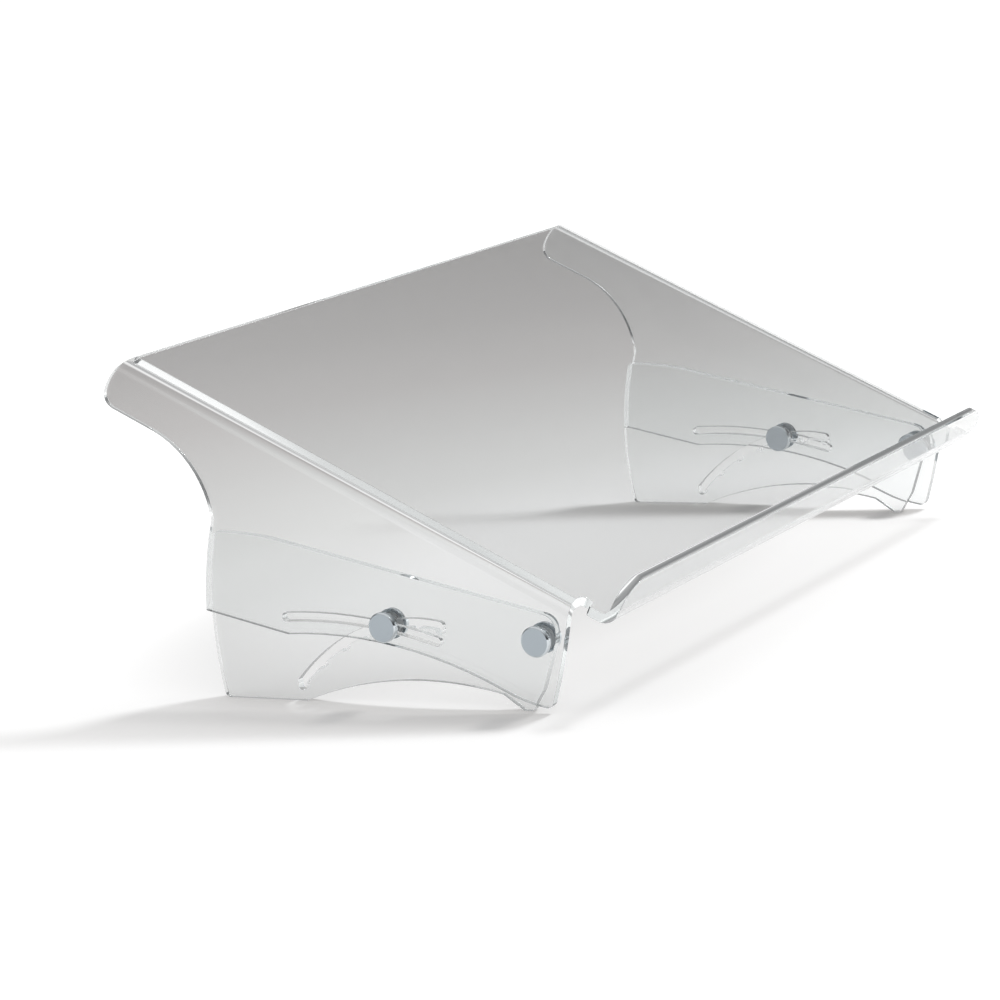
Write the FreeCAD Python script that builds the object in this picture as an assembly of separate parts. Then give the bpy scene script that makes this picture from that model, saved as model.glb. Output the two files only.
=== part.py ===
"""Tilting acrylic document holder: a bent tray with a front lip, clamped to two side feet.

All sizes are in millimetres.  X runs across the tray, Y from the lip to the back and Z up.
The side profile is laid out on a bench frame, with Y = 0 where the feet first touch the desk,
and main() then moves every piece so that the origin is at the bottom centre of the whole part.
"""
import FreeCAD, Part
import math
import os

# Tray: one sheet of acrylic, bent down at both sides and up at the front.
SHEET = 5.0              # thickness of every acrylic piece
WIDTH = 500.0            # over the outer faces of the two cheeks
INNER_BEND = 4.0         # inside radius of a line bend
TILT = 26.4              # slope of the tray above the desk, degrees
TRAY_DEPTH = 294.0       # flat part of the tray along the slope, back edge to lip bend
LIP_HEIGHT = 20.0        # above the tray's top face
LIP_INSET = 7.5          # each end of the lip, in from the cheek's outer face
LIP_CORNER = 18.0        # radius of the lip's top corners
RELIEF_DEPTH = 15.0      # how far the corner relief cut reaches in from the side
RELIEF_WIDTH = 8.0       # width of the relief cut, along the slope

# Cheeks: the sides of the tray, seen from the side.
CHEEK_LENGTH = 279.0     # along the slope, back edge to the front of the cheek
NOSE_OVERHANG = 8.0      # how far the cheek reaches behind the tray's back edge, and its radius there
NOSE_DEPTH = 29.5        # depth of the cheek's nose below the tray's top face
NOSE_BOW = 2.1           # bulge of the nose's rear edge over its chord
NOSE_LENGTH = 36.0       # straight lower edge of the nose, from its tip
CHEEK_TOE = 3.0          # clearance between the cheek's front corner and the desk
TOE_REACH = 5.0          # the cheek's front corner, ahead of the pivot
TOE_RADIUS = 4.0
TOE_LENGTH = 26.0        # flared front end of the cheek's lower edge
FRONT_BOW = 1.2          # bow of the cheek's front edge
EDGE_BELOW_SLOT = 9.2    # from the slot's centre line to the cheek's lower edge
CHEEK_STEP = 13.0        # straight rear part of the lower edge, slope in degrees
THROAT_HEIGHT = 97.0     # foot of the concave throat under the nose, above the desk
THROAT_BOW = 7.2         # depth of the concave throat under its chord

# Feet: two flat plates that stand on the desk.
PIVOT_Y = -11.3          # pivot axis, from the foot's front contact line
PIVOT_HEIGHT = 38.3      # pivot axis above the desk
PIVOT_TO_TRAY = 27.2     # pivot axis below the tray's top face
PIVOT_TO_BACK = 270.2    # pivot axis to the tray's back edge, along the slope
REAR_RADIUS = 197.0      # rear edges of foot and cheek, about the pivot axis
FOOT_SHOULDER = 13.1     # top edge of the foot above the pivot axis
FOOT_TOP_SLOPE = 12.8    # top edge of the foot, degrees
FOOT_FRONT = 9.0         # foot in front of the pivot axis
FOOT_BOSS_RADIUS = 8.0   # rounding at the front end of the top edge
FOOT_CROWN = 30.0        # level rear end of the top edge, length
FOOT_CORNER = 3.0        # rounding of the foot's rear corners
PAD_LENGTH = 50.0        # rear pad that stands on the desk
ARCH_HEIGHT = 12.9       # crown of the arch between the pad and the front tip
ARCH_FRONT = 14.0        # front end of the arch, behind the tip
ARCH_FRONT_HEIGHT = 8.0
TIP_WIDTH = 5.0          # front tip that stands on the desk
TIP_RADIUS = 1.5
SHIN_HEIGHT = 12.0       # where the front edge turns towards the tip
SHIN_SET_BACK = 0.8      # that turn, behind the pivot axis

# Slots and clamps.
SLOT_RADIUS = 256.6      # centre line of the cheek's slot
SLOT_CROWN_Y = 132.3     # crown of the slot, behind the pivot axis
SLOT_CROWN_HEIGHT = 46.6  # crown of the slot above the desk
STUD_Y = 88.5            # rear stud, behind the pivot axis
SLOT_REAR_Y = 147.6      # rear end of the slot's centre line, behind the pivot axis
SLOT_FRONT_Y = 58.3      # front end of the slot's centre line, behind the pivot axis
STUD_TRAVEL_RATIO = 0.95  # turn of the stud about the slot's centre, per turn of the tray
NOTCH_COUNT = 7          # height settings cut into the foot's slot
NOTCH_DEPTH = 2.2        # how far a notch reaches below the slot
STUD_RADIUS = 2.0
SLOT_CLEARANCE = 0.3    # between stud and slot wall, radial
RUNNING_CLEARANCE = 0.05  # between stud and pivot hole, washer or cap, radial
DISC_RADIUS = 8.0        # clamp discs
DISC_THICKNESS = 3.0
DISC_CHAMFER = 0.5
CAP_WALL = 1.0           # metal left over the stud's tip inside the cap
WASHER_RADIUS = 6.5
WASHER_THICKNESS = 0.5

BEND = INNER_BEND + SHEET
SLOT_HALF_WIDTH = STUD_RADIUS + SLOT_CLEARANCE
HALF_WIDTH = WIDTH / 2
PATH_STEPS = 8
DIAGONAL = math.sqrt(0.5)
X_AXIS = FreeCAD.Vector(1, 0, 0)
ORIGIN = FreeCAD.Vector(0, 0, 0)


def turned(point, centre, degrees):
    """Turn a (y, z) point about a (y, z) centre, positive from +Y towards +Z."""
    angle = math.radians(degrees)
    dy, dz = point[0] - centre[0], point[1] - centre[1]
    return (centre[0] + dy * math.cos(angle) - dz * math.sin(angle),
            centre[1] + dy * math.sin(angle) + dz * math.cos(angle))


def on_arc(centre, radius, y):
    """The upper point of a circle at a given y."""
    return (y, centre[1] + math.sqrt(radius ** 2 - (y - centre[0]) ** 2))


PIVOT = (PIVOT_Y, PIVOT_HEIGHT)
SLOT_CENTRE = (PIVOT_Y + SLOT_CROWN_Y, SLOT_CROWN_HEIGHT - SLOT_RADIUS)
REAR_STUD = on_arc(SLOT_CENTRE, SLOT_RADIUS, PIVOT_Y + STUD_Y)
SLOT_REAR = on_arc(SLOT_CENTRE, SLOT_RADIUS, PIVOT_Y + SLOT_REAR_Y)
SLOT_FRONT = on_arc(SLOT_CENTRE, SLOT_RADIUS, PIVOT_Y + SLOT_FRONT_Y)


def bearing(point, centre):
    """Direction of a point from a centre, degrees from +Y towards +Z."""
    return math.degrees(math.atan2(point[1] - centre[1], point[0] - centre[0]))


STUD_BEARING = bearing(REAR_STUD, SLOT_CENTRE)
TILT_DOWN = (bearing(SLOT_REAR, SLOT_CENTRE) - STUD_BEARING) / STUD_TRAVEL_RATIO
TILT_UP = (bearing(SLOT_FRONT, SLOT_CENTRE) - STUD_BEARING) / STUD_TRAVEL_RATIO


def on_tray(along, above):
    """(y, z) of a point given along the slope from the back edge and above the top face."""
    slope = math.radians(TILT)
    run, rise = PIVOT_TO_BACK - along, PIVOT_TO_TRAY + above
    return (PIVOT_Y + run * math.cos(slope) - rise * math.sin(slope),
            PIVOT_HEIGHT + run * math.sin(slope) + rise * math.cos(slope))


def at(x, point):
    """A 3-D point from x and a (y, z) pair."""
    return FreeCAD.Vector(x, point[0], point[1])


def bulge(start, end, bow):
    """Middle point of an arc from start to end that bows to the left of its chord."""
    chord = math.hypot(end[0] - start[0], end[1] - start[1])
    return ((start[0] + end[0]) / 2 - bow * (end[1] - start[1]) / chord,
            (start[1] + end[1]) / 2 + bow * (end[0] - start[0]) / chord)


def outline(start, steps, x=0.0):
    """A closed wire at one x; a step is (end,) for a line or (middle, end) for an arc."""
    edges, here = [], start
    for step in list(steps) + [(start,)]:
        end = step[-1]
        if len(step) == 2:
            edges.append(Part.Arc(at(x, here), at(x, step[0]), at(x, end)).toShape())
        elif math.dist(here, end) > 1e-6:
            edges.append(Part.LineSegment(at(x, here), at(x, end)).toShape())
        here = end
    return Part.Wire(edges)


def plate(wire, x, thickness):
    """Extrude a closed wire along +X, from x over a thickness."""
    solid = Part.Face(wire).extrude(X_AXIS * thickness)
    solid.translate(X_AXIS * x)
    return solid


def rounded(solid, corners):
    """Fillet the edges parallel to X that pass through the (point, radius) corners."""
    for point, radius in corners:
        edges = [edge for edge in solid.Edges
                 if edge.Curve.TypeId == "Part::GeomLine"
                 and abs(edge.Curve.Direction.x) > 0.999
                 and math.dist(point, (edge.Vertexes[0].Y, edge.Vertexes[0].Z)) < 0.05]
        solid = solid.makeFillet(radius, edges)
    return solid


def bar(point, radius, x, length):
    """A round bar along +X from x."""
    return Part.makeCylinder(radius, length, at(x, point), X_AXIS)


def arc_slot(x, length):
    """Cutter for the cheek's curved slot."""
    def ring(end, side):
        radius = SLOT_RADIUS + side * SLOT_HALF_WIDTH
        return turned((SLOT_CENTRE[0] + radius, SLOT_CENTRE[1]), SLOT_CENTRE, bearing(end, SLOT_CENTRE))

    middle = on_arc(SLOT_CENTRE, SLOT_RADIUS, (SLOT_REAR[0] + SLOT_FRONT[0]) / 2)
    rear_cap = turned((SLOT_REAR[0] + SLOT_HALF_WIDTH, SLOT_REAR[1]), SLOT_REAR,
                      bearing(SLOT_REAR, SLOT_CENTRE) - 90)
    front_cap = turned((SLOT_FRONT[0] + SLOT_HALF_WIDTH, SLOT_FRONT[1]), SLOT_FRONT,
                       bearing(SLOT_FRONT, SLOT_CENTRE) + 90)
    wire = outline(ring(SLOT_REAR, 1), [
        (ring(middle, 1), ring(SLOT_FRONT, 1)),
        (front_cap, ring(SLOT_FRONT, -1)),
        (ring(middle, -1), ring(SLOT_REAR, -1)),
        (rear_cap, ring(SLOT_REAR, 1))])
    return plate(wire, x, length)


def stud_in_foot(tilt):
    """Where the rear stud stands in the foot when the tray is turned by tilt degrees."""
    return turned(turned(REAR_STUD, SLOT_CENTRE, STUD_TRAVEL_RATIO * tilt), PIVOT, tilt)


def travel_direction(tilt):
    """Unit (y, z) direction of the stud's path in the foot, towards its front end."""
    step = 0.01
    before, after = stud_in_foot(tilt - step), stud_in_foot(tilt + step)
    length = math.dist(before, after)
    return ((after[0] - before[0]) / length, (after[1] - before[1]) / length)


def beside_path(tilt, side):
    """A point beside the stud's path, to its left for a positive side."""
    point, way = stud_in_foot(tilt), travel_direction(tilt)
    return (point[0] - side * way[1], point[1] + side * way[0])


def spline(points):
    """A smooth edge through (y, z) points at x = 0."""
    curve = Part.BSplineCurve()
    curve.interpolate([at(0, point) for point in points])
    return curve.toShape()


def notched_slot(x, length):
    """Cutter for the foot's slot: the stud's own path, with a notch for each height setting."""
    tilts = [TILT_DOWN + (TILT_UP - TILT_DOWN) * i / PATH_STEPS for i in range(PATH_STEPS + 1)]
    upper = [beside_path(tilt, -SLOT_HALF_WIDTH) for tilt in tilts]
    lower = [beside_path(tilt, SLOT_HALF_WIDTH) for tilt in reversed(tilts)]
    way_in, way_out = travel_direction(TILT_DOWN), travel_direction(TILT_UP)
    rear, front = stud_in_foot(TILT_DOWN), stud_in_foot(TILT_UP)
    rear_cap = (rear[0] - SLOT_HALF_WIDTH * way_in[0], rear[1] - SLOT_HALF_WIDTH * way_in[1])
    front_cap = (front[0] + SLOT_HALF_WIDTH * way_out[0], front[1] + SLOT_HALF_WIDTH * way_out[1])
    wire = Part.Wire([
        spline(upper),
        Part.Arc(at(0, upper[-1]), at(0, front_cap), at(0, lower[0])).toShape(),
        spline(lower),
        Part.Arc(at(0, lower[-1]), at(0, rear_cap), at(0, upper[0])).toShape()])
    cutter = plate(wire, x, length)
    for i in range(NOTCH_COUNT):
        y, z = stud_in_foot(TILT_DOWN + (TILT_UP - TILT_DOWN) * i / (NOTCH_COUNT - 1))
        cutter = cutter.fuse(bar((y, z - NOTCH_DEPTH), SLOT_HALF_WIDTH, x, length))
    return cutter.removeSplitter()


def cheek_corners():
    """Named corners of the cheek's outline, seen from the side."""
    toe = (PIVOT_Y - TOE_REACH, CHEEK_TOE)
    flare_y = toe[0] + TOE_LENGTH
    edge_radius = SLOT_RADIUS - EDGE_BELOW_SLOT
    step_slope = math.tan(math.radians(CHEEK_STEP))
    step_y = SLOT_REAR[0]
    step = on_arc(SLOT_CENTRE, edge_radius, step_y)
    heel_y = PIVOT_Y + REAR_RADIUS
    heel = (heel_y, step[1] + (heel_y - step_y) * step_slope)
    on_rear = math.sqrt(REAR_RADIUS ** 2 - (THROAT_HEIGHT - PIVOT_HEIGHT) ** 2)
    return {
        "front_top": on_tray(CHEEK_LENGTH, 0),
        "toe": toe,
        "flare": on_arc(SLOT_CENTRE, edge_radius, flare_y),
        "step": step,
        "heel": heel,
        "throat": (PIVOT_Y + on_rear, THROAT_HEIGHT),
        "nose_root": on_tray(NOSE_LENGTH - NOSE_OVERHANG, -NOSE_DEPTH),
        "nose_low": on_tray(0, -NOSE_DEPTH),
        "nose_turn": on_tray(-NOSE_OVERHANG * DIAGONAL, -NOSE_DEPTH + NOSE_OVERHANG * (1 - DIAGONAL)),
        "nose_back": on_tray(-NOSE_OVERHANG, NOSE_OVERHANG - NOSE_DEPTH),
        "back_top": on_tray(0, 0),
    }


def cheek_wire():
    """Side outline of both cheeks, closed above the tray's top face."""
    c = cheek_corners()
    rear_mid = turned((PIVOT[0] + REAR_RADIUS, PIVOT[1]), PIVOT,
                      (bearing(c["heel"], PIVOT) + bearing(c["throat"], PIVOT)) / 2)
    heel = turned((PIVOT[0] + REAR_RADIUS, PIVOT[1]), PIVOT, bearing(c["heel"], PIVOT))
    return outline(c["front_top"], [
        (bulge(c["front_top"], c["toe"], -FRONT_BOW), c["toe"]),
        (bulge(c["toe"], c["flare"], -FRONT_BOW), c["flare"]),
        (on_arc(SLOT_CENTRE, SLOT_RADIUS - EDGE_BELOW_SLOT, (c["flare"][0] + c["step"][0]) / 2), c["step"]),
        (heel,),
        (rear_mid, c["throat"]),
        (bulge(c["throat"], c["nose_root"], THROAT_BOW), c["nose_root"]),
        (c["nose_low"],),
        (c["nose_turn"], c["nose_back"]),
        (bulge(c["nose_back"], c["back_top"], -NOSE_BOW), c["back_top"])])


def in_tray_frame(solid):
    """Move a solid drawn level, with Y = 0 at the back edge and -Y forward, onto the slope."""
    solid.rotate(ORIGIN, X_AXIS, TILT)
    solid.translate(at(0, on_tray(0, 0)))
    return solid


def sheet_section():
    """The tray's bent cross-section, an inverted U in X and Z, as a face at Y = 0."""
    leg = WIDTH

    def point(x, z):
        return FreeCAD.Vector(x, 0, z)

    def skin(inset, radius):
        side, corner = HALF_WIDTH - inset, radius * (1 - DIAGONAL)
        left_bend = Part.Arc(point(-side, -radius - inset), point(-side + corner, -corner - inset),
                             point(-side + radius, -inset))
        right_bend = Part.Arc(point(side - radius, -inset), point(side - corner, -corner - inset),
                              point(side, -radius - inset))
        return [Part.LineSegment(point(-side, -leg), point(-side, -radius - inset)), left_bend,
                Part.LineSegment(point(-side + radius, -inset), point(side - radius, -inset)),
                right_bend, Part.LineSegment(point(side, -radius - inset), point(side, -leg))]

    outer, inner = skin(0, BEND), skin(SHEET, INNER_BEND)
    feet = [Part.LineSegment(point(-HALF_WIDTH, -leg), point(-HALF_WIDTH + SHEET, -leg)),
            Part.LineSegment(point(HALF_WIDTH, -leg), point(HALF_WIDTH - SHEET, -leg))]
    edges = [curve.toShape() for curve in outer + inner + feet]
    return Part.Face(Part.Wire(Part.sortEdges(edges)[0]))


def behind_back_edge():
    """Cutter for the space between the cheeks behind the tray's back edge, drawn level."""
    low, narrow, wide = -WIDTH, HALF_WIDTH - BEND, HALF_WIDTH - SHEET
    corners = [(-narrow, 0), (narrow, 0), (wide, NOSE_OVERHANG), (-wide, NOSE_OVERHANG), (-narrow, 0)]
    plan = Part.makePolygon([FreeCAD.Vector(x, y, low) for x, y in corners])
    return Part.Face(plan).extrude(FreeCAD.Vector(0, 0, WIDTH))


def folded_sides():
    """The tray's flat with both cheeks bent down and cut to their outline."""
    channel = sheet_section().extrude(FreeCAD.Vector(0, -CHEEK_LENGTH - WIDTH, 0))
    channel.translate(FreeCAD.Vector(0, WIDTH / 2, 0))
    blank = plate(cheek_wire(), -WIDTH, 2 * WIDTH)
    sheet = in_tray_frame(channel.cut(behind_back_edge())).common(blank)
    return rounded(sheet, [(cheek_corners()["toe"], TOE_RADIUS)])


def lip_profile():
    """Side profile of the tray's front: flat, line bend and upright lip, drawn level."""
    start, bend_y, turn = -CHEEK_LENGTH, -TRAY_DEPTH, DIAGONAL
    return outline((start, 0), [
        ((bend_y, 0),),
        ((bend_y - INNER_BEND * turn, INNER_BEND - INNER_BEND * turn), (bend_y - INNER_BEND, INNER_BEND)),
        ((bend_y - INNER_BEND, LIP_HEIGHT),),
        ((bend_y - BEND, LIP_HEIGHT),),
        ((bend_y - BEND, INNER_BEND),),
        ((bend_y - BEND * turn, INNER_BEND - BEND * turn), (bend_y, -SHEET)),
        ((start, -SHEET),)])


def relief_cut(side):
    """Cutter for the round-ended corner relief between a cheek and the lip, drawn level."""
    inner, low = HALF_WIDTH - RELIEF_DEPTH + RELIEF_WIDTH / 2, -2 * BEND
    middle = -CHEEK_LENGTH - RELIEF_WIDTH / 2
    slot = Part.makeBox(2 * RELIEF_DEPTH, RELIEF_WIDTH, 3 * BEND,
                        FreeCAD.Vector(inner, middle - RELIEF_WIDTH / 2, low))
    end = Part.makeCylinder(RELIEF_WIDTH / 2, 3 * BEND, FreeCAD.Vector(inner, middle, low))
    cutter = slot.fuse(end)
    return cutter if side > 0 else cutter.mirror(ORIGIN, X_AXIS)


def lip_front_view():
    """Cutter that keeps the lip inside its front outline with rounded top corners, drawn level."""
    half = HALF_WIDTH - LIP_INSET
    blank = Part.makeBox(2 * half, WIDTH, LIP_HEIGHT + WIDTH, FreeCAD.Vector(-half, -WIDTH, -WIDTH))
    corners = [edge for edge in blank.Edges
               if all(abs(v.Z - LIP_HEIGHT) < 1e-3 for v in edge.Vertexes)
               and abs(edge.Vertexes[0].X - edge.Vertexes[1].X) < 1e-3]
    return blank.makeFillet(LIP_CORNER, corners)


def front_lip():
    """The tray's front: the flat past the cheeks, the line bend and the lip with rounded corners."""
    front = plate(lip_profile(), -HALF_WIDTH, WIDTH).common(lip_front_view())
    for side in (-1, 1):
        front = front.cut(relief_cut(side))
    return in_tray_frame(front)


def tray():
    """The bent sheet: tray, cheeks and lip in one piece, with its holes and slots."""
    body = folded_sides().fuse(front_lip()).removeSplitter()
    body = body.cut(bar(PIVOT, STUD_RADIUS + RUNNING_CLEARANCE, -WIDTH, 2 * WIDTH))
    return body.cut(arc_slot(-WIDTH, 2 * WIDTH))


def foot():
    """The left foot plate, standing on its front tip and its rear pad."""
    slope = math.tan(math.radians(FOOT_TOP_SLOPE))
    shoulder = FOOT_SHOULDER / math.cos(math.radians(FOOT_TOP_SLOPE))
    front_y, rear_y = PIVOT_Y - FOOT_FRONT, PIVOT_Y + REAR_RADIUS
    top_front = (front_y, PIVOT_HEIGHT + shoulder - FOOT_FRONT * slope)
    crown_y = rear_y - FOOT_CROWN - FOOT_SHOULDER
    crown = (crown_y, PIVOT_HEIGHT + shoulder + (crown_y - PIVOT_Y) * slope)
    rise = FOOT_CROWN * slope / 2
    top_height = crown[1] + rise
    top_rear = (PIVOT_Y + math.sqrt(REAR_RADIUS ** 2 - (top_height - PIVOT_HEIGHT) ** 2), top_height)
    heel = (PIVOT_Y + math.sqrt(REAR_RADIUS ** 2 - PIVOT_HEIGHT ** 2), 0)
    pad_front = (heel[0] - PAD_LENGTH, 0)
    arch_front = (ARCH_FRONT, ARCH_FRONT_HEIGHT)
    arch_top = ((pad_front[0] + arch_front[0]) / 2, ARCH_HEIGHT)
    tip_rear, tip_front = (TIP_WIDTH / 2, 0), (-TIP_WIDTH / 2, 0)
    shin = (PIVOT_Y + SHIN_SET_BACK, SHIN_HEIGHT)
    wire = outline(top_front, [
        (crown,),
        (bulge(crown, top_rear, rise / 4), top_rear),
        ((PIVOT_Y + REAR_RADIUS, PIVOT_HEIGHT), heel),
        (pad_front,),
        (arch_top, arch_front),
        (tip_rear,),
        (tip_front,),
        (shin,),
        ((front_y, PIVOT_HEIGHT),)])
    outer_face = -HALF_WIDTH + SHEET + WASHER_THICKNESS
    body = rounded(plate(wire, outer_face, SHEET), [
        (top_front, FOOT_BOSS_RADIUS), (top_rear, FOOT_CORNER), (heel, FOOT_CORNER),
        (tip_rear, TIP_RADIUS), (tip_front, TIP_RADIUS)])
    body = body.cut(bar(PIVOT, STUD_RADIUS + RUNNING_CLEARANCE, -WIDTH, WIDTH))
    return body.cut(notched_slot(-WIDTH, WIDTH))


def washer(point, x):
    """A thin nylon washer on a stud, from x towards the middle of the part."""
    ring = bar(point, WASHER_RADIUS, x, WASHER_THICKNESS)
    return ring.cut(bar(point, STUD_RADIUS + RUNNING_CLEARANCE, x, WASHER_THICKNESS))


def disc(point, x, face_side):
    """A clamp disc from x, with its visible face chamfered on the -X or +X side."""
    body = bar(point, DISC_RADIUS, x, DISC_THICKNESS)
    face_x = x if face_side < 0 else x + DISC_THICKNESS
    rim = [edge for edge in body.Edges
           if edge.Curve.TypeId == "Part::GeomCircle" and abs(edge.Curve.Center.x - face_x) < 1e-3]
    return body.makeChamfer(DISC_CHAMFER, rim)


def clamp(point):
    """The pieces of one left-hand clamp, by name, from outside to inside."""
    cheek_out = -HALF_WIDTH
    cheek_in = cheek_out + SHEET
    foot_in = cheek_in + WASHER_THICKNESS + SHEET
    cap_x = cheek_out - DISC_THICKNESS
    head_x = foot_in + WASHER_THICKNESS
    stud_x = cap_x + CAP_WALL
    bore = bar(point, STUD_RADIUS + RUNNING_CLEARANCE, stud_x, DISC_THICKNESS)
    stud = bar(point, STUD_RADIUS, stud_x, head_x - stud_x)
    return {
        "cap": disc(point, cap_x, -1).cut(bore),
        "spacer": washer(point, cheek_in),
        "washer": washer(point, foot_in),
        "screw": disc(point, head_x, 1).fuse(stud).removeSplitter(),
    }


def build():
    """Every piece by node name, on the bench frame."""
    pieces = {"tray": tray()}
    left_pieces = {"foot": foot()}
    for place, point in (("front", PIVOT), ("rear", REAR_STUD)):
        for name, solid in clamp(point).items():
            left_pieces[place + "_" + name] = solid
    for name, solid in left_pieces.items():
        pieces[name + "_left"] = solid
        pieces[name + "_right"] = solid.mirror(ORIGIN, X_AXIS)
    return pieces


def main():
    pieces = build()
    box = Part.makeCompound(list(pieces.values())).optimalBoundingBox(False)
    shift = FreeCAD.Vector(0, -(box.YMin + box.YMax) / 2, -box.ZMin)
    os.makedirs("parts", exist_ok=True)
    for name, solid in pieces.items():
        solid.translate(shift)
        solid.exportStep("parts/" + name + ".step")
    for name, point in (("pivot", PIVOT), ("slot centre", SLOT_CENTRE), ("rear stud", REAR_STUD)):
        print(name, "y %.4f z %.4f" % (point[0] + shift.y, point[1] + shift.z))
    print("tray tilt %.3f to %.3f degrees" % (TILT_DOWN, TILT_UP))
    print("size %.2f %.2f %.2f" % (box.XLength, box.YLength, box.ZLength))


main()
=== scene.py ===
"""A tilting desk document holder, bent from one clear acrylic sheet, on two notched feet.

The solids of the frame give every size. Here the sheet and the feet get polished, slightly
rounded edges and a cast acrylic finish, and the four clamps get turned discs, a threaded stud
and washers.
"""

import logging
import math
from dataclasses import dataclass
from enum import Enum
from typing import Any

import bmesh
import bpy
from mathutils import Matrix, Vector

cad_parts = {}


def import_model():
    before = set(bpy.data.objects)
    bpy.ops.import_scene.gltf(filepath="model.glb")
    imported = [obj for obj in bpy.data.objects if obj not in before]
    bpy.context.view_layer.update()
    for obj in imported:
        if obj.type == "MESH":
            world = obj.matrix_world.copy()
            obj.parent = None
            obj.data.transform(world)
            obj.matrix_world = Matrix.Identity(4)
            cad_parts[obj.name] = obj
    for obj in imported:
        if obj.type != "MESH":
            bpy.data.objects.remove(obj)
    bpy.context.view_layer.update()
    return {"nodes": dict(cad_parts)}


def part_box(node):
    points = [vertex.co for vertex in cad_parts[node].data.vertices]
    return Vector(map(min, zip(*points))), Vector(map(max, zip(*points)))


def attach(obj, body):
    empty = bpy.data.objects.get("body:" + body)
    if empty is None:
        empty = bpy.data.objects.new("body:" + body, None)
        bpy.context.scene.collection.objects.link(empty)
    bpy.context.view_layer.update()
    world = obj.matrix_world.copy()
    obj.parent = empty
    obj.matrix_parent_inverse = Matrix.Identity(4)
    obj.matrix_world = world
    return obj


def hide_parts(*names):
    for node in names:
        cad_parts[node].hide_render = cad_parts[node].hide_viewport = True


MM = 0.001
FULL_TURN = 2 * math.pi
X_AXIS = Vector((1.0, 0.0, 0.0))
WHITE = (1.0, 1.0, 1.0, 1.0)
LOG = logging.getLogger("document_holder")
Stops = tuple[tuple[float, str], ...]


class Side(Enum):
    """Which side of the holder a piece is on, with the sign of its x."""

    LEFT = -1
    RIGHT = 1

    @property
    def word(self) -> str:
        """The side's name, as the frame's nodes end."""
        return self.name.lower()


class Station(Enum):
    """Which stud of a foot a clamp sits on."""

    FRONT = "front"
    REAR = "rear"


def linear(code: str) -> tuple[float, float, float, float]:
    """Turns an sRGB hex colour into the linear colour that the shaders take.

    Args:
        code: six hex digits after a hash sign.

    Returns:
        Linear red, green and blue, and an alpha of 1.
    """
    parts = [int(code[i : i + 2], 16) / 255 for i in (1, 3, 5)]
    red, green, blue = (
        part / 12.92 if part <= 0.04045 else ((part + 0.055) / 1.055) ** 2.4 for part in parts
    )
    return (red, green, blue, 1.0)


def add_node(
    tree: bpy.types.NodeTree,
    kind: str,
    settings: dict[str, Any] | None = None,
    inputs: dict[str | int, Any] | None = None,
) -> bpy.types.Node:
    """Adds one shader node with its settings, its values and the links into it.

    Args:
        tree: the node tree that takes the node.
        kind: the node's type name.
        settings: attributes of the node.
        inputs: a value or another node's output socket for each input, by name or number.

    Returns:
        The new node.
    """
    node = tree.nodes.new(kind)
    for name, value in (settings or {}).items():
        setattr(node, name, value)
    for name, value in (inputs or {}).items():
        if isinstance(value, bpy.types.NodeSocket):
            tree.links.new(value, node.inputs[name])
        else:
            node.inputs[name].default_value = value
    return node


def set_stops(ramp: bpy.types.ColorRamp, stops: Stops) -> None:
    """Fills a colour ramp.

    Args:
        ramp: the ramp of a Color Ramp node.
        stops: the place and the sRGB hex colour of each stop, from left to right.
    """
    while len(ramp.elements) < len(stops):
        ramp.elements.new(1.0)
    for element, (place, code) in zip(ramp.elements, stops):
        element.position = place
        element.color = linear(code)


def blank_material(title: str) -> bpy.types.Material:
    """Makes a material with an empty node tree.

    Args:
        title: the material's name.

    Returns:
        The new material.
    """
    material = bpy.data.materials.new(title)
    material.use_nodes = True
    material.node_tree.nodes.clear()
    return material


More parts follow.
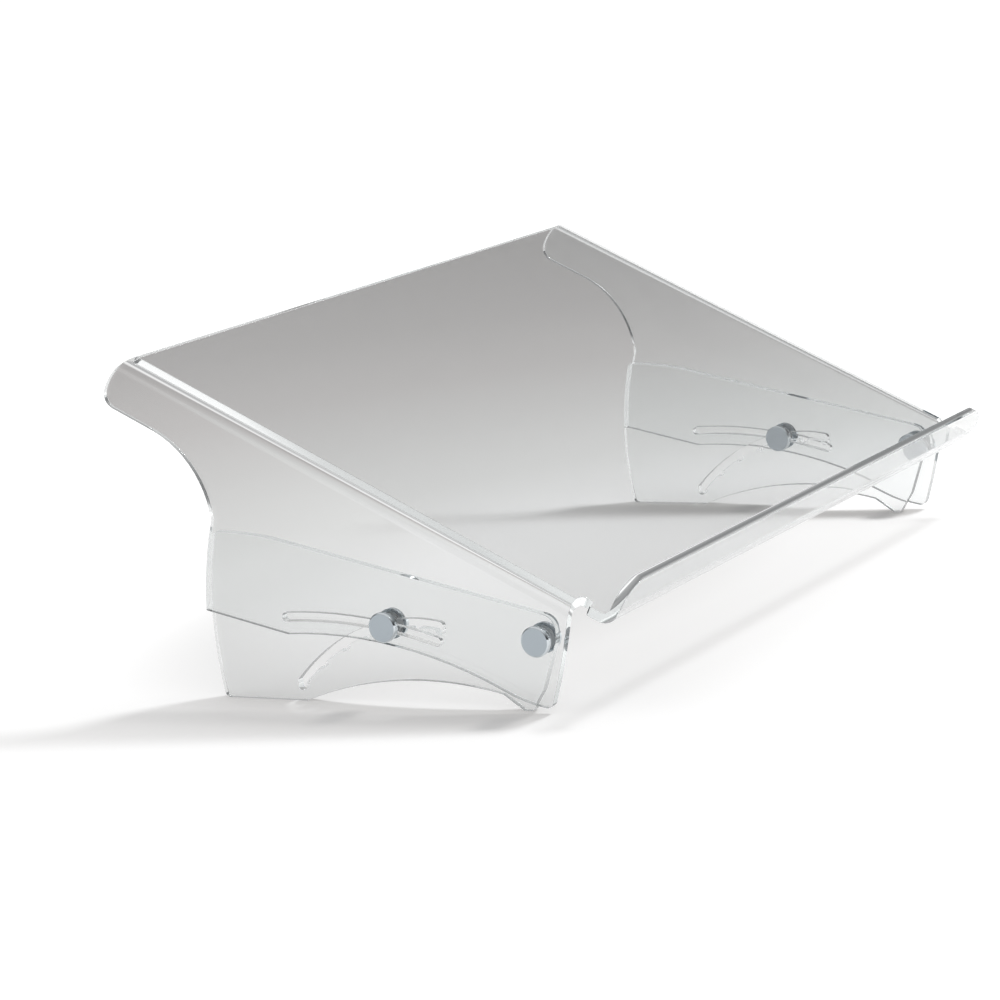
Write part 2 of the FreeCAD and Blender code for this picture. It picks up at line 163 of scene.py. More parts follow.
@dataclass(frozen=True)
class CastAcrylic:
    """Cast acrylic sheet, polished by its casting plates: clear, hard and very glossy.

    Its index of 1.49 gives a soft mirror of the room at a shallow angle and bright, bent
    images of the floor along each line bend and edge. `tint` colours what is seen through it,
    `shade` and `edge_shade` its shadow where the light meets it squarely and at a shallow
    angle, and `piped` the light that has run inside the sheet before it comes out.
    """

    title: str = "cast_acrylic"
    tint: str = "#fbfcfc"
    shade: str = "#fcfcfc"
    edge_shade: str = "#aeacaa"
    piped: str = "#f2f3f3"
    index: float = 1.49
    roughness: float = 0.0
    waviness_mm: float = 55.0
    wave_height_mm: float = 0.02
    streak_mm: float = 0.0
    streak_stretch: float = 0.04
    turns_inside: int = 2

    def material(self) -> bpy.types.Material:
        """Builds the shader.

        Returns:
            Clear glass for the eye, and a pale tinted shadow for the lamps, so that the light
            which passes the sheet isn't lost and no speckled caustics are needed. Light that
            has been mirrored a few times inside the sheet is let out in the piped tint, as it
            leaves a real one at its far edge, instead of ending in black.
        """
        made = blank_material(self.title)
        tree = made.node_tree
        place = add_node(tree, "ShaderNodeTexCoord").outputs["Object"]
        pattern = self.surface_pattern(tree, place)
        normal = add_node(
            tree,
            "ShaderNodeBump",
            inputs={"Strength": 1.0, "Distance": self.wave_height_mm * MM, "Height": pattern},
        ).outputs["Normal"]
        clear = add_node(
            tree,
            "ShaderNodeBsdfPrincipled",
            inputs={
                "Base Color": linear(self.tint),
                "Roughness": self.roughness,
                "IOR": self.index,
                "Transmission Weight": 1.0,
                "Normal": normal,
            },
        ).outputs["BSDF"]
        mirror = add_node(tree, "ShaderNodeFresnel", inputs={"IOR": self.index}).outputs["Fac"]
        shade = add_node(
            tree,
            "ShaderNodeMix",
            {"data_type": "RGBA"},
            {"Factor": mirror, 6: linear(self.shade), 7: linear(self.edge_shade)},
        ).outputs[2]
        path = add_node(tree, "ShaderNodeLightPath")
        to_lamps = add_node(
            tree,
            "ShaderNodeMath",
            {"operation": "MAXIMUM"},
            {0: path.outputs["Is Shadow Ray"], 1: path.outputs["Is Diffuse Ray"]},
        ).outputs[0]
        trapped = add_node(
            tree,
            "ShaderNodeMath",
            {"operation": "GREATER_THAN"},
            {0: path.outputs["Glossy Depth"], 1: self.turns_inside - 0.5},
        ).outputs[0]
        straight = add_node(
            tree, "ShaderNodeMath", {"operation": "MAXIMUM"}, {0: to_lamps, 1: trapped}
        ).outputs[0]
        let_out = add_node(
            tree,
            "ShaderNodeMix",
            {"data_type": "RGBA"},
            {"Factor": trapped, 6: shade, 7: linear(self.piped)},
        ).outputs[2]
        passing = add_node(tree, "ShaderNodeBsdfTransparent", inputs={"Color": let_out})
        whole = add_node(
            tree,
            "ShaderNodeMixShader",
            inputs={0: straight, 1: clear, 2: passing.outputs["BSDF"]},
        )
        add_node(tree, "ShaderNodeOutputMaterial", inputs={"Surface": whole.outputs[0]})
        return made

    def surface_pattern(
        self, tree: bpy.types.NodeTree, place: bpy.types.NodeSocket
    ) -> bpy.types.NodeSocket:
        """Draws the height of the surface.

        Args:
            tree: the material's node tree.
            place: the object coordinates.

        Returns:
            A slow waviness, as a cast sheet has, or fine cutter streaks across a cut edge.
        """
        if not self.streak_mm:
            noise = {"Scale": 1 / (self.waviness_mm * MM), "Detail": 1.0}
            return add_node(
                tree, "ShaderNodeTexNoise", inputs={"Vector": place, **noise}
            ).outputs[0]
        along = add_node(
            tree,
            "ShaderNodeMapping",
            inputs={"Vector": place, "Scale": (self.streak_stretch, 1.0, 1.0)},
        )
        noise = {"Scale": 1 / (self.streak_mm * MM), "Detail": 2.0}
        return add_node(
            tree, "ShaderNodeTexNoise", inputs={"Vector": along.outputs[0], **noise}
        ).outputs[0]


@dataclass(frozen=True)
class TurnedAluminium:
    """Satin anodised aluminium, turned on a lathe.

    Fine rings from the tool catch the light round the face, and the anodising leaves a cool
    grey that blurs what it mirrors. A rim that is cut afterwards with a diamond tool is
    brighter and smoother, and draws a thin light line round the face.
    """

    title: str
    centre: Vector
    tint: str = "#a9b1b7"
    roughness: float = 0.24
    blur_spread: float = 0.05
    cloud_mm: float = 3.0
    ring_mm: float = 0.45
    ring_height_mm: float = 0.004
    ring_wobble: float = 0.3
    ring_scale: float = FULL_TURN / 20

    def material(self) -> bpy.types.Material:
        """Builds the shader.

        Returns:
            A metal with rings round the stud's axis. Real tool marks are about 0.1 mm apart.
            They are drawn coarser so that they show. `ring_scale` is how far apart the wave
            texture draws its rings at a scale of 1.
        """
        made = blank_material(self.title)
        tree = made.node_tree
        place = add_node(tree, "ShaderNodeTexCoord").outputs["Object"]
        shift = add_node(
            tree,
            "ShaderNodeMapping",
            inputs={"Vector": place, "Location": -self.centre, "Scale": (0.0, 1.0, 1.0)},
        )
        rings = add_node(
            tree,
            "ShaderNodeTexWave",
            {"wave_type": "RINGS", "rings_direction": "X", "wave_profile": "SIN"},
            {
                "Vector": shift.outputs[0],
                "Scale": self.ring_scale / (self.ring_mm * MM),
                "Distortion": self.ring_wobble,
            },
        ).outputs["Fac"]
        normal = add_node(
            tree,
            "ShaderNodeBump",
            inputs={"Strength": 1.0, "Distance": self.ring_height_mm * MM, "Height": rings},
        )
        cloud = add_node(
            tree,
            "ShaderNodeTexNoise",
            inputs={"Vector": place, "Scale": 1 / (self.cloud_mm * MM), "Detail": 3.0},
        ).outputs[0]
        blur = add_node(
            tree,
            "ShaderNodeMapRange",
            inputs={
                "Value": cloud,
                "To Min": self.roughness - self.blur_spread,
                "To Max": self.roughness + self.blur_spread,
            },
        )
        metal = add_node(
            tree,
            "ShaderNodeBsdfPrincipled",
            inputs={
                "Base Color": linear(self.tint),
                "Metallic": 1.0,
                "Roughness": blur.outputs[0],
                "Normal": normal.outputs[0],
            },
        )
        add_node(tree, "ShaderNodeOutputMaterial", inputs={"Surface": metal.outputs[0]})
        return made


@dataclass(frozen=True)
class MouldedNylon:
    """Natural nylon, punched from extruded strip: milky, a little waxy, softly translucent."""

    title: str = "natural_nylon"
    tint: str = "#dfe4e8"
    roughness: float = 0.42
    index: float = 1.53
    grain_mm: float = 0.8
    grain_height_mm: float = 0.02
    grain_strength: float = 0.4
    milkiness: float = 0.3
    glow_depth_mm: float = 0.5

    def material(self) -> bpy.types.Material:
        """Builds the shader.

        Returns:
            A milky plastic that lets some light through, with a faint grain.
        """
        made = blank_material(self.title)
        tree = made.node_tree
        place = add_node(tree, "ShaderNodeTexCoord").outputs["Object"]
        grain = add_node(
            tree,
            "ShaderNodeTexNoise",
            inputs={"Vector": place, "Scale": 1 / (self.grain_mm * MM), "Detail": 2.0},
        ).outputs[0]
        normal = add_node(
            tree,
            "ShaderNodeBump",
            inputs={
                "Strength": self.grain_strength,
                "Distance": self.grain_height_mm * MM,
                "Height": grain,
            },
        )
        plastic = add_node(
            tree,
            "ShaderNodeBsdfPrincipled",
            inputs={
                "Base Color": linear(self.tint),
                "Roughness": self.roughness,
                "IOR": self.index,
                "Subsurface Weight": self.milkiness,
                "Subsurface Radius": (1.0, 1.0, 1.0),
                "Subsurface Scale": self.glow_depth_mm * MM,
                "Normal": normal.outputs[0],
            },
        )
        add_node(tree, "ShaderNodeOutputMaterial", inputs={"Surface": plastic.outputs[0]})
        return made


def link_piece(
    name: str, mesh: bmesh.types.BMesh, body: str, nodes: tuple[str, ...]
) -> bpy.types.Object:
    """Puts a finished mesh into the scene in the place of its solids.

    Args:
        name: the piece's name.
        mesh: the finished mesh, in the frame. It is freed.
        body: the body that the piece moves with.
        nodes: the solids that it stands for.

    Returns:
        The new object.
    """
    data = bpy.data.meshes.new(name)
    mesh.to_mesh(data)
    mesh.free()
    piece = bpy.data.objects.new(name, data)
    bpy.context.scene.collection.objects.link(piece)
    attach(piece, body)
    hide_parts(*nodes)
    return piece


@dataclass
class AcrylicPiece:
    """One piece of the acrylic sheet: the bent tray with its cheeks and lip, or a flat foot."""

    name: str
    body: str
    node: str
    merge_distance: float = 0.002 * MM
    flatness: float = math.radians(0.3)
    edge_angle: float = math.radians(25)
    polished_radius: float = 0.3 * MM
    radius_segments: int = 2
    flat_weight: int = 60

    def skins(self, mesh: bmesh.types.BMesh) -> list[set[bmesh.types.BMFace]]:
        """Groups the faces into the smooth areas that sharp edges part from one another.

        Args:
            mesh: the merged mesh, before its edges are rounded.

        Returns:
            The areas, the largest first.
        """
        left, found = set(mesh.faces), []
        while left:
            area, reach = set(), [left.pop()]
            while reach:
                face = reach.pop()
                area.add(face)
                for edge in face.edges:
                    if edge.calc_face_angle(0.0) > self.edge_angle:
                        continue
                    for other in edge.link_faces:
                        if other in left:
                            left.remove(other)
                            reach.append(other)
            found.append(area)
        return sorted(found, key=lambda area: -sum(face.calc_area() for face in area))

    def build(self, solid: bpy.types.Object) -> bpy.types.Object:
        """Makes the piece from its solid and rounds every cut edge a little, as polishing does.

        Args:
            solid: the frame's solid, which is copied and left alone.

        Returns:
            The piece, with the sheet's two skins in slot 0 and its cut edges in slot 1.
        """
        mesh = bmesh.new()
        mesh.from_mesh(solid.data)
        bmesh.ops.remove_doubles(mesh, verts=mesh.verts, dist=self.merge_distance)
        bmesh.ops.dissolve_limit(
            mesh, angle_limit=self.flatness, verts=mesh.verts, edges=mesh.edges
        )
        for area in self.skins(mesh)[:2]:
            for face in area:
                face.tag = True
        for face in mesh.faces:
            face.material_index = 0 if face.tag else 1
            face.smooth = True
        sharp = [edge for edge in mesh.edges if edge.calc_face_angle(0.0) > self.edge_angle]
        rounded = bmesh.ops.bevel(
            mesh,
            geom=sharp,
            offset=self.polished_radius,
            offset_type="OFFSET",
            segments=self.radius_segments,
            profile=0.5,
            affect="EDGES",
            clamp_overlap=False,
            material=-1,
        )
        for face in rounded["faces"]:
            face.material_index = 1
            face.smooth = True
        piece = link_piece(self.name, mesh, self.body, (self.node,))
        even = piece.modifiers.new("even_shading", "WEIGHTED_NORMAL")
        even.keep_sharp = True
        even.weight = self.flat_weight
        return piece

    def dress(
        self, piece: bpy.types.Object, skin: bpy.types.Material, edge: bpy.types.Material
    ) -> None:
        """Gives the piece its finishes.

        Args:
            piece: the built piece.
            skin: the finish of the sheet's two faces.
            edge: the finish of its cut edges.
        """
        piece.data.materials.clear()
        piece.data.materials.append(skin)
        piece.data.materials.append(edge)
        report(piece)


@dataclass
class Clamp:
    """One clamp: a cap outside, a stud with its disc inside, and two thin washers between."""

    station: Station
    side: Side
    disc_radius: float = 8.0 * MM
    disc_thickness: float = 3.0 * MM
    disc_chamfer: float = 0.5 * MM
    disc_softness: float = 0.06 * MM
    cap_wall: float = 1.0 * MM
    cap_rim: float = 0.75 * MM
    cap_softness: float = 0.08 * MM
    stud_radius: float = 2.0 * MM
    bore_gap: float = 0.05 * MM
    thread_pitch: float = 0.7 * MM
    thread_depth: float = 0.25 * MM
    plain_neck: float = 0.5 * MM
    washer_radius: float = 6.5 * MM
    washer_softness: float = 0.1 * MM
    sliding_gap: float = 0.02 * MM
    merge_distance: float = 0.001 * MM
    steps: int = 96
    sharp_angle: float = math.radians(30)
    softening_segments: int = 2
    flat_limit: float = 0.97

    def node(self, part: str) -> str:
        """The frame's name of one of the clamp's parts."""
        return f"{self.station.value}_{part}_{self.side.word}"

    def body(self) -> str:
        """The body that the stud and its washers move with."""
        return "holder" if self.station is Station.FRONT else f"rear_clamp_{self.side.word}"

    def spun(self, profile: list[tuple[float, float]], node: str) -> bmesh.types.BMesh:
        """Turns a profile round the clamp's axis.

        Args:
            profile: distance from the inner face along the axis, outwards, and radius. It
                starts and ends on the axis, or else is closed to a ring round it.
            node: the solid whose box gives the axis and the inner face.

        Returns:
            The turned mesh, in the frame.
        """
        low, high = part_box(node)
        centre = (low + high) / 2
        inner = high.x if self.side is Side.LEFT else low.x
        mesh = bmesh.new()
        points = [
            mesh.verts.new((inner + self.side.value * along, centre.y + radius, centre.z))
            for along, radius in profile
        ]
        lines = [mesh.edges.new(pair) for pair in zip(points, points[1:])]
        hollow = profile[0][1] > 0.0 and profile[-1][1] > 0.0
        if hollow:
            lines.append(mesh.edges.new((points[-1], points[0])))
        bmesh.ops.spin(
            mesh,
            geom=points + lines,
            cent=centre,
            axis=X_AXIS,
            angle=FULL_TURN,
            steps=self.steps,
            use_merge=True,
        )
        bmesh.ops.remove_doubles(mesh, verts=mesh.verts, dist=self.merge_distance)
        bmesh.ops.recalc_face_normals(mesh, faces=mesh.faces)
        return mesh

    def soften(self, mesh: bmesh.types.BMesh, width: float) -> None:
        """Rounds the sharp edges of a turned mesh and smooths its faces.

        Args:
            mesh: the turned mesh.
            width: how wide each rounding is.
        """
        sharp = [edge for edge in mesh.edges if edge.calc_face_angle(0.0) > self.sharp_angle]
        bmesh.ops.bevel(
            mesh,
            geom=sharp,
            offset=width,
            offset_type="OFFSET",
            segments=self.softening_segments,
            profile=0.5,
            affect="EDGES",
            material=-1,
        )
        for face in mesh.faces:
            face.smooth = True

    def cap(self) -> bpy.types.Object:
        """Builds the outer cap, a flat disc with a bevelled rim and a blind hole for the stud.

        Returns:
            The cap.
        """
        node = self.node("cap")
        bore, face = self.stud_radius + self.bore_gap, self.disc_thickness
        bottom = face - self.cap_wall
        profile = [
            (bottom, 0.0),
            (bottom, bore),
            (self.sliding_gap, bore),
            (self.sliding_gap, self.disc_radius),
            (face - self.cap_rim, self.disc_radius),
            (face, self.disc_radius - self.cap_rim),
            (face, 0.0),
        ]
        mesh = self.spun(profile, node)
        self.soften(mesh, self.cap_softness)
        body = f"{self.station.value}_knob_{self.side.word}"
        return self.finished(link_piece(f"{node}_turned", mesh, body, (node,)))

    def screw(self) -> bpy.types.Object:
        """Builds the inner disc and its threaded stud in one turned piece.

        Returns:
            The screw.
        """
        node = self.node("screw")
        low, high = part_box(node)
        length = high.x - low.x
        start = self.disc_thickness
        profile = [
            (0.0, 0.0),
            (0.0, self.disc_radius - self.disc_chamfer),
            (self.disc_chamfer, self.disc_radius),
            (start, self.disc_radius),
            (start, self.stud_radius),
        ]
        root = self.stud_radius - self.thread_depth
        along = start + self.plain_neck
        while along + self.thread_pitch < length:
            profile += [(along, self.stud_radius), (along + self.thread_pitch / 2, root)]
            along += self.thread_pitch
        end = length - self.thread_depth
        profile += [(end, self.stud_radius), (length, root), (length, 0.0)]
        mesh = self.spun(profile, node)
        self.soften(mesh, self.disc_softness)
        return self.finished(
            link_piece(f"{node}_turned", mesh, self.body(), (node,))
        )

    def washer(self, part: str) -> bpy.types.Object:
        """Builds one thin nylon washer.

        Args:
            part: spacer or washer.

        Returns:
            The washer.
        """
        node = self.node(part)
        low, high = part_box(node)
        near, bore = self.sliding_gap, self.stud_radius + self.bore_gap
        far = high.x - low.x - self.sliding_gap
        mesh = self.spun(
            [(near, bore), (near, self.washer_radius), (far, self.washer_radius), (far, bore)],
            node,
        )
        self.soften(mesh, self.washer_softness)
        return self.finished(
            link_piece(f"{node}_punched", mesh, self.body(), (node,))
        )

    def finished(self, piece: bpy.types.Object) -> bpy.types.Object:
        """Evens the shading over the roundings.

        Args:
            piece: the turned or punched piece.

        Returns:
            The same piece.
        """
        even = piece.modifiers.new("even_shading", "WEIGHTED_NORMAL")
        even.keep_sharp = True
        return piece

    def build(
        self, metal: bpy.types.Material, rim: bpy.types.Material, nylon: bpy.types.Material
    ) -> None:
        """Builds and dresses the whole clamp.

        Args:
            metal: the finish of the flat faces of the cap and the screw.
            rim: the finish of what was cut round them.
            nylon: the finish of the washers.
        """
        for piece in (self.cap(), self.screw()):
            piece.data.materials.append(metal)
            piece.data.materials.append(rim)
            for face in piece.data.polygons:
                face.material_index = 0 if abs(face.normal.x) > self.flat_limit else 1
            report(piece)
        for part in ("spacer", "washer"):
            piece = self.washer(part)
            piece.data.materials.append(nylon)
            report(piece)


@dataclass(frozen=True)
class Studio:
    """A white paper table under one soft lamp, in a room with a dark wall in front.

    Lengths are in metres. Levels are strengths, where 1 is white. A pair whose name ends in
    `reach` holds the distances from the lamp's pool at which a change begins and ends. The
    room is drawn by direction: `wall_turn` is the y from which the front wall turns into the
    rear one, `wall_heights` and `ceiling_stops` hold the z of the tones above the floor, and
    `corner_edge` says how close to `corner_way` the dark corner begins and is full.
    """

    floor_radius: float = 14.0
    floor_corners: int = 96
    paper: str = "#fafafa"
    pool_centre: tuple[float, float, float] = (0.05, -0.30, 0.0)
    # Painted falloff of the lamp's pool: the reach and the grey stops of the paper as seen
    # through the acrylic.
    painted_falloff_reach: tuple[float, float] = (0.0, 1.5)
    painted_falloff_stops: Stops = (
        (0.0, "#ffffff"),
        (0.2, "#ffffff"),
        (0.3, "#f7f7f7"),
        (0.4, "#e3e3e2"),
        (0.53, "#d5d4d3"),
        (0.67, "#c9c6c5"),
        (0.87, "#bfbcbb"),
        (1.0, "#bebbba"),
    )
    lift_reach: tuple[float, float] = (0.3, 1.5)
    lift_levels: tuple[float, float] = (0.12, 0.6)
    # Painted shade: an oval under the tray where the floor's lift is left out, so the paper
    # there stays darker.
    painted_shade_centre: tuple[float, float, float] = (0.02, 0.085, 0.0)
    painted_shade_size: tuple[float, float, float] = (0.30, 0.16, 1.0)
    painted_shade_core: float = 0.55
    sweep_reach: tuple[float, float] = (1.8, 3.0)
    sweep_level: float = 0.6
    front_wall: str = "#26272a"
    rear_wall: str = "#a9a9aa"
    wall_turn: tuple[float, float] = (-0.35, 0.0)
    wall_heights: tuple[float, float] = (0.09, 0.22)
    ceiling_stops: Stops = ((0.45, "#7c7d7e"), (0.8, "#ececec"))
    dark_corner: str = "#1c1d1f"
    corner_way: tuple[float, float, float] = (-0.45, -0.45, 0.75)
    corner_edge: tuple[float, float] = (0.72, 0.9)
    deep_wall: str = "#e8e8e8"
    deep_share: float = 0.05
    deep_after: float = 1.5
    lamp_place: tuple[float, float, float] = (0.99, -0.85, 1.8)
    lamp_size: float = 0.42
    lamp_power: float = 31.0
    sky_level: float = 0.5
    eye: tuple[float, float, float] = (-1.859657, -0.992995, 0.462645)
    yaw: float = 1.057
    pitch: float = 0.1883
    roll: float = 0.0887
    focal_pixels: float = 3763.19
    frame_pixels: float = 1000.0
    sensor_mm: float = 36.0
    clip: tuple[float, float] = (0.05, 60.0)

    def floor(self) -> bpy.types.Object:
        """Lays the round white floor.

        Returns:
            The floor.
        """
        mesh = bmesh.new()
        bmesh.ops.create_circle(
            mesh, cap_ends=True, segments=self.floor_corners, radius=self.floor_radius
        )
        data = bpy.data.meshes.new("studio_floor")
        mesh.to_mesh(data)
        mesh.free()
        floor = bpy.data.objects.new("studio_floor", data)
        bpy.context.scene.collection.objects.link(floor)
        floor.data.materials.append(self.floor_finish())
        return floor

    def floor_finish(self) -> bpy.types.Material:
        """Builds the floor's finish.

        Returns:
            Matt white paper. For the eye and for metal it is lifted to full white, except in
            a soft oval under the tray, where the lift is left out as painted shade. Through the
            acrylic its colour is a painted falloff of the lamp's pool, a soft grey, as a meter
            reads the lit paper, that darkens away from the pool. Far out it rises as a pale
            sweep, so that no dark horizon shows in gloss.
        """
        made = blank_material("white_backdrop_paper")
        tree = made.node_tree
        place = add_node(tree, "ShaderNodeTexCoord").outputs["Object"]
        reach = add_node(
            tree,
            "ShaderNodeVectorMath",
            {"operation": "DISTANCE"},
            {0: place, 1: self.pool_centre},
        ).outputs["Value"]
        spread = add_node(
            tree,
            "ShaderNodeMapRange",
            inputs={
                "Value": reach,
                "From Min": self.painted_falloff_reach[0],
                "From Max": self.painted_falloff_reach[1],
            },
        ).outputs[0]
        # Painted light: this ramp paints the lamp's pool and its falloff into the paper's
        # colour for rays through the acrylic.
        painted_falloff_ramp = add_node(tree, "ShaderNodeValToRGB", inputs={"Fac": spread})
        set_stops(painted_falloff_ramp.color_ramp, self.painted_falloff_stops)
        path = add_node(tree, "ShaderNodeLightPath")
        colour = add_node(
            tree,
            "ShaderNodeMix",
            {"data_type": "RGBA"},
            {
                "Factor": path.outputs["Is Transmission Ray"],
                6: linear(self.paper),
                7: painted_falloff_ramp.outputs["Color"],
            },
        ).outputs[2]
        paper = add_node(tree, "ShaderNodeBsdfDiffuse", inputs={"Color": colour})
        mirrored = add_node(
            tree,
            "ShaderNodeMath",
            {"operation": "SUBTRACT"},
            {0: path.outputs["Is Glossy Ray"], 1: path.outputs["Is Transmission Ray"]},
        ).outputs[0]
        direct = add_node(
            tree,
            "ShaderNodeMath",
            {"operation": "MAXIMUM"},
            {0: path.outputs["Is Camera Ray"], 1: mirrored},
        ).outputs[0]
        lifted = add_node(
            tree,
            "ShaderNodeMapRange",
            inputs={
                "Value": reach,
                "From Min": self.lift_reach[0],
                "From Max": self.lift_reach[1],
                "To Min": self.lift_levels[0],
                "To Max": self.lift_levels[1],
            },
        ).outputs[0]
        # Painted shade: no lift inside the oval under the tray, so the paper there reads darker
        # from any view.
        under = add_node(
            tree,
            "ShaderNodeMapping",
            {"vector_type": "TEXTURE"},
            {"Vector": place, "Location": self.painted_shade_centre, "Scale": self.painted_shade_size},
        )
        from_centre = add_node(
            tree, "ShaderNodeVectorMath", {"operation": "LENGTH"}, {0: under.outputs[0]}
        ).outputs["Value"]
        open_floor = add_node(
            tree,
            "ShaderNodeMapRange",
            inputs={"Value": from_centre, "From Min": self.painted_shade_core},
        ).outputs[0]
        outside = add_node(
            tree, "ShaderNodeMath", {"operation": "MULTIPLY"}, {0: lifted, 1: open_floor}
        ).outputs[0]
        seen = add_node(
            tree, "ShaderNodeMath", {"operation": "MULTIPLY"}, {0: direct, 1: outside}
        ).outputs[0]
        sweep = add_node(
            tree,
            "ShaderNodeMapRange",
            inputs={
                "Value": reach,
                "From Min": self.sweep_reach[0],
                "From Max": self.sweep_reach[1],
                "To Max": self.sweep_level,
            },
        ).outputs[0]
        strength = add_node(
            tree, "ShaderNodeMath", {"operation": "MAXIMUM"}, {0: seen, 1: sweep}
        ).outputs[0]
        glow = add_node(
            tree, "ShaderNodeEmission", inputs={"Color": WHITE, "Strength": strength}
        )
        whole = add_node(
            tree, "ShaderNodeAddShader", inputs={0: paper.outputs[0], 1: glow.outputs[0]}
        )
        add_node(tree, "ShaderNodeOutputMaterial", inputs={"Surface": whole.outputs[0]})
        return made

    def room(self) -> None:
        """Sets the room: even light for matt surfaces, and for gloss the dim studio round it.

        What the acrylic bends and mirrors is a pale ceiling, a dark wall in front, a paler one
        behind and a dark corner, which draw the crisp dark and bright lines along its edges.
        Light that comes by way of several faces sees the walls a little paler, and not the
        corner. The background itself is white for the eye.
        """
        world = bpy.data.worlds.new("studio_room")
        bpy.context.scene.world = world
        world.use_nodes = True
        tree = world.node_tree
        tree.nodes.clear()
        way = add_node(tree, "ShaderNodeTexCoord").outputs["Generated"]
        parts = add_node(tree, "ShaderNodeSeparateXYZ", inputs={0: way})
        behind = add_node(
            tree,
            "ShaderNodeMapRange",
            inputs={
                "Value": parts.outputs["Y"],
                "From Min": self.wall_turn[0],
                "From Max": self.wall_turn[1],
            },
        ).outputs[0]
        walls = []
        for shade in (self.front_wall, self.rear_wall):
            ramp = add_node(tree, "ShaderNodeValToRGB", inputs={"Fac": parts.outputs["Z"]})
            low, high = self.wall_heights
            wall_stops = ((0.0, "#ffffff"), (low, shade), (high, shade), *self.ceiling_stops)
            set_stops(ramp.color_ramp, wall_stops)
            walls.append(ramp.outputs["Color"])
        wall = add_node(
            tree,
            "ShaderNodeMix",
            {"data_type": "RGBA"},
            {"Factor": behind, 6: walls[0], 7: walls[1]},
        ).outputs[2]
        facing = add_node(
            tree,
            "ShaderNodeVectorMath",
            {"operation": "DOT_PRODUCT"},
            {0: way, 1: Vector(self.corner_way).normalized()},
        ).outputs["Value"]
        corner_shade = add_node(
            tree,
            "ShaderNodeMapRange",
            inputs={
                "Value": facing,
                "From Min": self.corner_edge[0],
                "From Max": self.corner_edge[1],
            },
        ).outputs[0]
        path = add_node(tree, "ShaderNodeLightPath")
        first = add_node(
            tree,
            "ShaderNodeMath",
            {"operation": "LESS_THAN"},
            {0: path.outputs["Ray Depth"], 1: self.deep_after},
        ).outputs[0]
        corner = add_node(
            tree, "ShaderNodeMath", {"operation": "MULTIPLY"}, {0: corner_shade, 1: first}
        ).outputs[0]
        deep = add_node(
            tree,
            "ShaderNodeMath",
            {"operation": "GREATER_THAN"},
            {0: path.outputs["Ray Depth"], 1: self.deep_after},
        ).outputs[0]
        paler = add_node(
            tree,
            "ShaderNodeMath",
            {"operation": "MULTIPLY"},
            {0: deep, 1: self.deep_share},
        ).outputs[0]
        far_wall = add_node(
            tree,
            "ShaderNodeMix",
            {"data_type": "RGBA"},
            {"Factor": paler, 6: wall, 7: linear(self.deep_wall)},
        ).outputs[2]
        seen = add_node(
            tree,
            "ShaderNodeMix",
            {"data_type": "RGBA"},
            {"Factor": corner, 6: far_wall, 7: linear(self.dark_corner)},
        ).outputs[2]
        even = (self.sky_level, self.sky_level, self.sky_level, 1.0)
        matt = add_node(
            tree,
            "ShaderNodeMix",
            {"data_type": "RGBA"},
            {"Factor": path.outputs["Is Diffuse Ray"], 6: seen, 7: even},
        ).outputs[2]
        colour = add_node(
            tree,
            "ShaderNodeMix",
            {"data_type": "RGBA"},
            {"Factor": path.outputs["Is Camera Ray"], 6: matt, 7: WHITE},
        ).outputs[2]
        back = add_node(tree, "ShaderNodeBackground", inputs={"Color": colour, "Strength": 1.0})
        add_node(tree, "ShaderNodeOutputWorld", inputs={"Surface": back.outputs[0]})

    def lamp(self) -> None:
        """Hangs the square soft lamp above and to the right of the holder's front."""
        data = bpy.data.lights.new("soft_lamp", "AREA")
        data.shape = "SQUARE"
        data.size = self.lamp_size
        data.energy = self.lamp_power
        lamp = bpy.data.objects.new("soft_lamp", data)
        bpy.context.scene.collection.objects.link(lamp)
        lamp.location = self.lamp_place
        lamp.rotation_mode = "QUATERNION"
        lamp.rotation_quaternion = Vector(self.lamp_place).to_track_quat("Z", "Y")

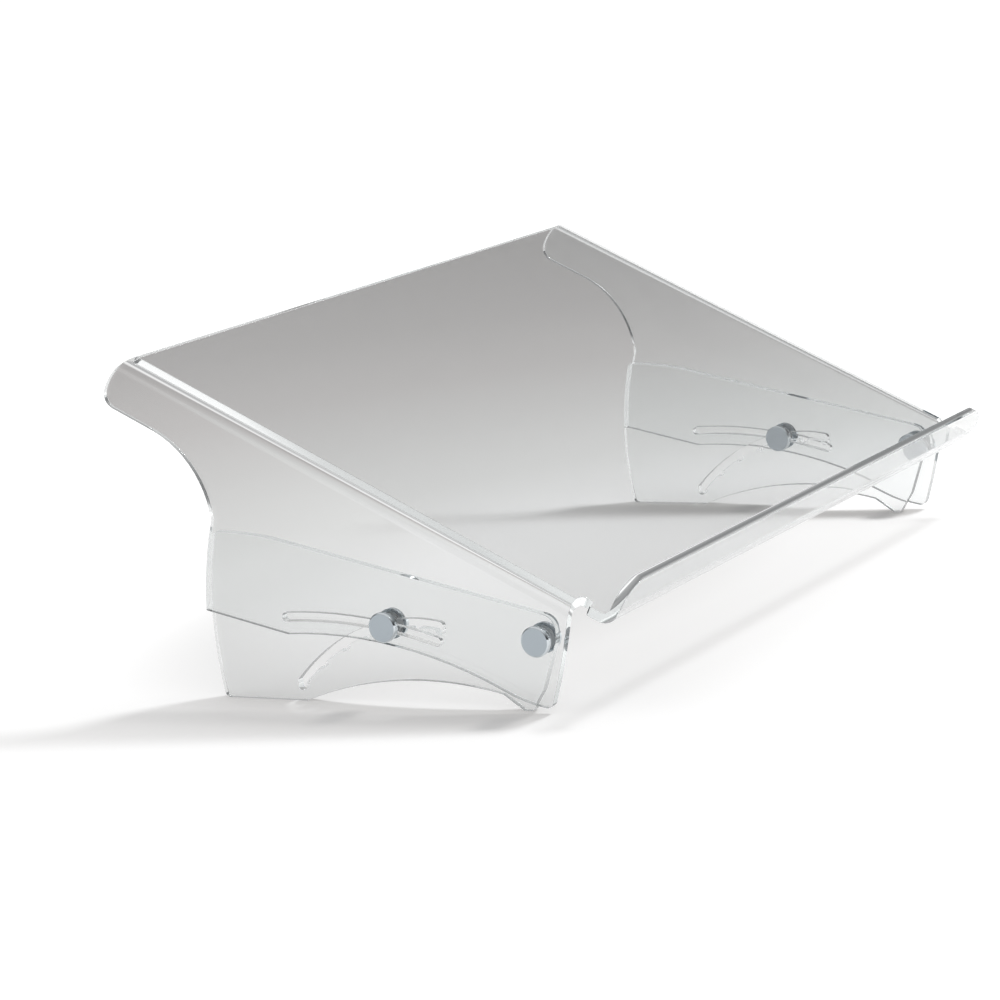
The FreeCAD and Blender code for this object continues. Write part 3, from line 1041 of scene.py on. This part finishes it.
    def camera(self) -> None:
        """Sets the camera by its yaw, its pitch below the horizon and its roll."""
        level = Vector((math.cos(self.yaw), -math.sin(self.yaw), 0.0))
        ahead = Vector(
            (
                math.sin(self.yaw) * math.cos(self.pitch),
                math.cos(self.yaw) * math.cos(self.pitch),
                -math.sin(self.pitch),
            )
        )
        down = ahead.cross(level)
        right = math.cos(self.roll) * level + math.sin(self.roll) * down
        below = -math.sin(self.roll) * level + math.cos(self.roll) * down
        data = bpy.data.cameras.new("camera")
        data.sensor_width = self.sensor_mm
        data.lens = self.focal_pixels * self.sensor_mm / self.frame_pixels
        data.clip_start, data.clip_end = self.clip
        camera = bpy.data.objects.new("camera", data)
        bpy.context.scene.collection.objects.link(camera)
        turn = Matrix((right, -below, -ahead)).transposed()
        camera.matrix_world = Matrix.Translation(self.eye) @ turn.to_4x4()
        bpy.context.scene.camera = camera

    def build(self) -> None:
        """Sets up floor, room, lamp and camera, with plain colour."""
        self.floor()
        self.room()
        self.lamp()
        self.camera()
        bpy.context.scene.view_settings.view_transform = "Standard"


def report(piece: bpy.types.Object) -> None:
    """Logs one finished piece."""
    LOG.info("%s: %d faces", piece.name, len(piece.data.polygons))


def main() -> None:
    """Builds the holder in the order in which it is put together."""
    logging.basicConfig(level=logging.INFO, format="%(message)s")
    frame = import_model()
    Studio().build()

    skin = CastAcrylic().material()
    edge = CastAcrylic(
        title="polished_acrylic_edge",
        tint="#f7f9f9",
        shade="#f2f2f1",
        edge_shade="#d0cfcd",
        piped="#8f9193",
        roughness=0.02,
        wave_height_mm=0.004,
        streak_mm=1.2,
    ).material()
    bodies = {"tray": "holder", "foot_left": "stand_left", "foot_right": "stand_right"}
    for node, body in bodies.items():
        sheet = AcrylicPiece(name=f"{node}_sheet", body=body, node=node)
        sheet.dress(sheet.build(frame["nodes"][node]), skin, edge)

    nylon = MouldedNylon().material()
    for station in Station:
        low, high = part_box(f"{station.value}_spacer_left")
        axis = Vector((0.0, (low.y + high.y) / 2, (low.z + high.z) / 2))
        metal = TurnedAluminium(
            title=f"turned_aluminium_{station.value}", centre=axis
        ).material()
        rim = TurnedAluminium(
            title=f"bright_cut_aluminium_{station.value}",
            centre=axis,
            tint="#d3d9dd",
            roughness=0.1,
            ring_height_mm=0.0005,
        ).material()
        for side in Side:
            Clamp(station, side).build(metal, rim, nylon)


if __name__ == "__main__":
    main()
